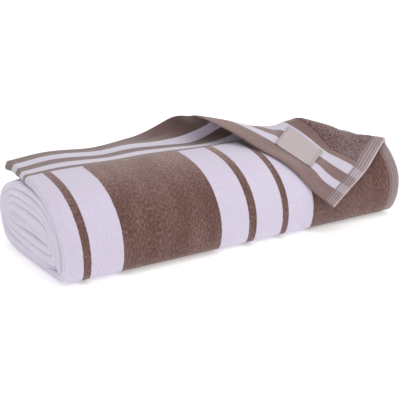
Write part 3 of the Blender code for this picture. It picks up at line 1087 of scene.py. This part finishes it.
flat_weave, given, result = open_group(
    "flat_weave",
    {"Place": "vector", "Brown": "value", "From side": "value", "From end": "value"},
    {"Color": "color", "Height": "value", "Hem": "value", "Stitch": "value"},
)
parts = add(flat_weave, "ShaderNodeSeparateXYZ", {0: given["Place"]}).outputs
uneven = noise(flat_weave, given["Place"], UNEVEN_SCALE, 3.0)
shaken = calculate(flat_weave, "MULTIPLY_ADD", uneven, RIB_SHAKE, parts["Y"])
weft = ribs(flat_weave, shaken, RIB_PITCH)
warp = ribs(flat_weave, parts["X"], WARP_PITCH)
height = calculate(flat_weave, "MULTIPLY_ADD", warp, WARP_HEIGHT, weft)
shade = times(flat_weave, uneven, weft)
brown_flat = blend(flat_weave, shade, BROWN_FLAT, BROWN_FLAT_SHADE)
white_flat = blend(flat_weave, shade, WHITE_FLAT, WHITE_FLAT_SHADE)
flat_color = blend(flat_weave, given["Brown"], white_flat, brown_flat)

side_hem = calculate(flat_weave, "LESS_THAN", given["From side"], HEM_WIDTH)
end_hem = calculate(flat_weave, "LESS_THAN", given["From end"], HEM_WIDTH)
hem = calculate(flat_weave, "MAXIMUM", side_hem, end_hem)
hem_color = blend(flat_weave, HEM_STRIPES_SHOW, HEM_GREY, flat_color)
hem_line = ribs(flat_weave, given["From side"], HEM_LINE_PITCH)
hem_line = calculate(flat_weave, "POWER", hem_line, HEM_LINE_SHARPNESS)
hem_line = times(flat_weave, hem_line, HEM_LINE_LIGHT)
hem_color = blend(flat_weave, hem_line, hem_color, WHITE_FLAT)
hem_outer = calculate(flat_weave, "LESS_THAN", given["From side"], HEM_EDGE_WIDTH)
hem_outer = times(flat_weave, hem_outer, HEM_EDGE_SHARE)
hem_color = blend(flat_weave, hem_outer, hem_color, HEM_EDGE)
color = blend(flat_weave, side_hem, flat_color, hem_color)

seam = HEM_WIDTH - STITCHES_IN
thread = (STITCH_PITCH, STITCH_GAP)
side_seam = stitches(flat_weave, given["From side"], seam, STITCH_WIDTH, parts["Y"], *thread)
end_seam = stitches(flat_weave, given["From end"], seam, STITCH_WIDTH, parts["X"], *thread)
stitch = calculate(flat_weave, "MAXIMUM", side_seam, end_seam)
thread_share = times(flat_weave, stitch, STITCH_SHARE)
color = blend(flat_weave, thread_share, color, STITCH_THREAD)
give(flat_weave, result, {"Color": color, "Height": height, "Hem": hem, "Stitch": stitch})
print("ribs every", RIB_PITCH / MM, "mm, stitches every", STITCH_PITCH / MM, "mm")

# %% [markdown]
# ## Finishes: the towel's materials
# Face and reverse are two materials on one sheet. Each picks flat weave where the border and hems
# are and its own pile elsewhere. Cotton has almost no gloss, but fine fibres stand out from it
# and light up towards its outlines, which the Principled shader's sheen is made for. Some light
# also enters white pile and comes out a little further on, so narrow gaps between folds stay light:
# that is its subsurface scattering.

# %% Cloth materials
# A grey line of yarn where the pile ends, darkened with a painted shadow of the step down to the
# thinner border.
PILE_EDGE_SHADOW = (0.26, 0.235, 0.215, 1)
PILE_EDGE_SHADOW_WIDTH = 0.9 * MM
# Painted shade: the border's brown on the face is darkened to offset the sheen over the roll's top.
BROWN_BORDER_SHADE = (0.12, 0.075, 0.070, 1)
WOVEN_HEIGHT = 0.25
SOFT_LIGHT = 0.6
SOFT_LIGHT_REACH = 2.5 * MM
COTTON = {
    "Roughness": 0.92,
    "Specular IOR Level": 0.15,
    "Sheen Weight": 0.4,
    "Sheen Roughness": 0.45,
    "Subsurface Weight": SOFT_LIGHT,
    "Subsurface Radius": (1.0, 1.0, 1.0),
    "Subsurface Scale": SOFT_LIGHT_REACH,
}


def open_material(name):
    """A material with an empty node tree, and the flat cloth's two numbers."""
    material = bpy.data.materials.new(name)
    material.use_nodes = True
    tree = material.node_tree
    tree.nodes.clear()
    return material, tree, add(tree, "ShaderNodeUVMap", uv_map="cloth").outputs[0]


def finish_material(tree, color, height, bump_distance, settings):
    """The Principled shader with this colour, small unevenness and settings."""
    normal = add(tree, "ShaderNodeBump", {"Height": height, "Distance": bump_distance})
    inputs = {"Base Color": color, "Normal": normal.outputs[0], **settings}
    shader = add(tree, "ShaderNodeBsdfPrincipled", inputs)
    add(tree, "ShaderNodeOutputMaterial", {"Surface": shader.outputs[0]})


def cloth_material(name, pile_group, pile_bump, bump_distance, pile_edge_shadow, border_shade):
    """Flat weave at the border and hems, and this pile elsewhere.

    pile_bump is the pile's unevenness as a share of bump_distance. pile_edge_shadow is how much
    the grey line where the pile ends shows, with its painted shadow of the step, and border_shade
    how much painted shade darkens the border's brown here.
    """
    material, tree, place_uv = open_material(name)
    striped = use_group(tree, stripes, {"Place": place_uv})
    pile = use_group(tree, pile_group, {"Place": place_uv, "Brown": striped["Brown"]})
    woven_inputs = {key: striped[key] for key in ("Brown", "From side", "From end")}
    woven = use_group(tree, flat_weave, {"Place": place_uv, **woven_inputs})
    flat = calculate(tree, "MAXIMUM", striped["Border"], woven["Hem"])
    # Painted shade on the face's brown border stripes.
    border_shade_share = times(tree, striped["Brown"], striped["Border"])
    border_shade_share = times(tree, border_shade_share, border_shade)
    woven_color = blend(tree, border_shade_share, woven["Color"], BROWN_BORDER_SHADE)
    color = blend(tree, flat, pile["Color"], woven_color)
    # The grey line where the pile ends, with its painted shadow of the step.
    edge = near(tree, striped["From end"], BORDER_EDGE + PILE_EDGE_SHADOW_WIDTH, PILE_EDGE_SHADOW_WIDTH)
    color = blend(tree, times(tree, edge, pile_edge_shadow), color, PILE_EDGE_SHADOW)
    pile_height = times(tree, pile["Height"], pile_bump)
    woven_height = times(tree, woven["Height"], WOVEN_HEIGHT)
    woven_height = calculate(tree, "SUBTRACT", woven_height, woven["Stitch"])
    height = add(tree, "ShaderNodeMix", {0: flat, 2: pile_height, 3: woven_height}).outputs[0]
    finish_material(tree, color, height, bump_distance, COTTON)
    return material


towel_materials = (
    cloth_material("towel_velour", velour, 1.0, 1.1 * MM, pile_edge_shadow=0.75, border_shade=0.5),
    cloth_material("towel_loops", loops, 1.0, 0.9 * MM, pile_edge_shadow=0.0, border_shade=0.0),
    cloth_material("towel_edge", velour, 0.5, 0.8 * MM, pile_edge_shadow=0.75, border_shade=0.5),
)
print("materials:", [m.name for m in towel_materials])

# %% [markdown]
# ## The towel
# The sheet and its finishes come together here. Solidify gives the cloth its thickness on both
# sides of the sheet. It also hands the second material to the reverse and the third to the rim.

# %% Towel
towel = finish_sheet("towel_cloth", towel_bm, towel_shares, PILE, towel_materials)
print("towel cloth:", len(towel.data.polygons), "faces before its thickness")

# %% [markdown]
# ## The label
# A small satin label is sewn flat to the reverse of the border, near the side hem. Woven labels are
# smooth and stiff: the yarns lie so close that only a faint grid shows. Its two short ends are
# turned under and stitched, so they are a little thicker and stand off the cloth. It is made as the
# towel is, from a small grid that is laid through the same folding, a bit above the border.

# %% Label sheet
LABEL_THICKNESS = 0.9 * MM
LABEL_GAP = 0.25 * MM
LABEL_END = 3.2 * MM
LABEL_END_OVER = 1.2 * MM
LABEL_END_LIFT = 0.9 * MM
LABEL_MIDDLE_SHARE = 0.55  # thickness of the label between its turned-under ends
LABEL_EDGE_SHARE = 0.45
LABEL_EDGE_OVER = 0.9 * MM

label_bm = flat_sheet(np.linspace(*LABEL_ACROSS, 45), np.linspace(*LABEL_ALONG, 31))
label_across, label_along = np.array([v.co[:2] for v in label_bm.verts]).T
from_short_end = np.minimum(label_across - LABEL_ACROSS[0], LABEL_ACROSS[1] - label_across)
from_long_side = np.minimum(label_along - LABEL_ALONG[0], LABEL_ALONG[1] - label_along)
turned_under = 1 - rise(from_short_end, LABEL_END, LABEL_END_OVER)
label_shares = LABEL_MIDDLE_SHARE + (1 - LABEL_MIDDLE_SHARE) * turned_under
at_edge = fade(np.minimum(from_short_end, from_long_side), LABEL_EDGE_OVER)
label_shares *= 1 - (1 - LABEL_EDGE_SHARE) * at_edge
label_lift = BORDER_SHARE * PILE / 2 + LABEL_GAP + LABEL_THICKNESS / 2 + LABEL_END_LIFT * turned_under
lay_sheet(label_bm, -label_lift)
print("label:", len(label_bm.verts), "vertices")

# %% [markdown]
# The label's satin is a plain grey-white. Its yarns make a grid far finer than the border's ribs,
# and a few yarns reflect a little more than others. A row of stitches holds each short end.

# %% Label material
LABEL_WHITE = (0.45, 0.385, 0.395, 1)
LABEL_SHADE = (0.34, 0.29, 0.29, 1)
LABEL_YARN = 0.42 * MM
LABEL_YARN_SCALE = 900.0
LABEL_YARN_FROM_TO = (0.5, 0.75)
LABEL_YARN_SHARE = 0.6
LABEL_GRID_SHARE = 0.3
LABEL_SEAM = 1.7 * MM
LABEL_STITCH_WIDTH = 0.3 * MM
LABEL_STITCH_PITCH = 2.4 * MM
LABEL_STITCH_GAP = 0.25
LABEL_STITCH_SHARE = 0.55
LABEL_STITCH_DEEP = 2.0  # in grid heights
LABEL_UNEVEN = 0.1 * MM
SATIN = {"Roughness": 0.62, "Specular IOR Level": 0.35, "Sheen Weight": 0.1}

label_material, tree, place_uv = open_material("label_satin")
parts = add(tree, "ShaderNodeSeparateXYZ", {0: place_uv}).outputs
label_yarns = [ribs(tree, parts[axis], LABEL_YARN) for axis in ("X", "Y")]
grid = times(tree, *label_yarns)
yarn = spread(tree, noise(tree, place_uv, LABEL_YARN_SCALE, 2.0), *LABEL_YARN_FROM_TO)
shade = times(tree, yarn, LABEL_YARN_SHARE)
shade = calculate(tree, "MULTIPLY_ADD", grid, LABEL_GRID_SHARE, shade)
color = blend(tree, shade, LABEL_WHITE, LABEL_SHADE)
from_left = calculate(tree, "SUBTRACT", parts["X"], LABEL_ACROSS[0])
from_right = calculate(tree, "SUBTRACT", LABEL_ACROSS[1], parts["X"])
from_short = calculate(tree, "MINIMUM", from_left, from_right)
thread = (LABEL_STITCH_PITCH, LABEL_STITCH_GAP)
sewn = stitches(tree, from_short, LABEL_SEAM, LABEL_STITCH_WIDTH, parts["Y"], *thread)
thread_share = times(tree, sewn, LABEL_STITCH_SHARE)
color = blend(tree, thread_share, color, STITCH_THREAD)
height = calculate(tree, "SUBTRACT", grid, times(tree, sewn, LABEL_STITCH_DEEP))
finish_material(tree, color, height, LABEL_UNEVEN, SATIN)
label = finish_sheet("label_satin", label_bm, label_shares, LABEL_THICKNESS, (label_material,))
print("label:", len(label.data.polygons), "faces before its thickness")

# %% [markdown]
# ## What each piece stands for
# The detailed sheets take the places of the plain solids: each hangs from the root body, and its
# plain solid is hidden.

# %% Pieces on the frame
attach(towel, "root")
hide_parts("towel")
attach(label, "root")
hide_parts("label")

# %% [markdown]
# ## Studio
# The towel lies on a plain white floor, in soft light from above and a little from the front. Large
# lamps far off give wide, soft shadows, and a white sky fills them. The floor glows a little, as a
# lit white table does, which also lightens the ends of the roll from below.

# %% Floor and light
FLOOR_SIZE = 24.0
FLOOR_Z = -0.4 * MM
FLOOR_WHITE = (0.85, 0.85, 0.85, 1)
FLOOR_GLOW = 0.35
WHITE = (1, 1, 1, 1)
SKY_STRENGTH = 0.80
LAMPS = {
    # name: (x, y, z of the lamp in m), side in m, watts
    "lamp_above": ((0.15, -0.25, 1.6), 1.1, 8.0),
    "lamp_front": ((0.9, -1.6, 1.1), 1.2, 10.0),
}

floor_mesh = bpy.data.meshes.new("floor")
floor_bm = bmesh.new()
bmesh.ops.create_grid(floor_bm, x_segments=1, y_segments=1, size=FLOOR_SIZE / 2)
bmesh.ops.translate(floor_bm, verts=floor_bm.verts, vec=(0, 0, FLOOR_Z))
floor_bm.to_mesh(floor_mesh)
floor_bm.free()
floor = bpy.data.objects.new("floor", floor_mesh)
bpy.context.scene.collection.objects.link(floor)
floor_material = bpy.data.materials.new("floor")
floor_material.use_nodes = True
floor_inputs = floor_material.node_tree.nodes["Principled BSDF"].inputs
floor_inputs["Base Color"].default_value = FLOOR_WHITE
floor_inputs["Roughness"].default_value = 0.9
floor_inputs["Emission Color"].default_value = WHITE
floor_inputs["Emission Strength"].default_value = FLOOR_GLOW
floor_mesh.materials.append(floor_material)

world = bpy.data.worlds.new("studio")
world.use_nodes = True
sky_inputs = world.node_tree.nodes["Background"].inputs
sky_inputs["Color"].default_value = WHITE
sky_inputs["Strength"].default_value = SKY_STRENGTH
bpy.context.scene.world = world

for lamp_name, (spot, side, watts) in LAMPS.items():
    lamp_data = bpy.data.lights.new(lamp_name, "AREA")
    lamp_data.size = side
    lamp_data.energy = watts
    lamp = bpy.data.objects.new(lamp_name, lamp_data)
    lamp.location = spot
    aim = -lamp.location
    lamp.rotation_euler = aim.to_track_quat("-Z", "Y").to_euler()
    bpy.context.scene.collection.objects.link(lamp)
bpy.context.scene.view_settings.view_transform = "Standard"
print("lamps:", sorted(LAMPS))
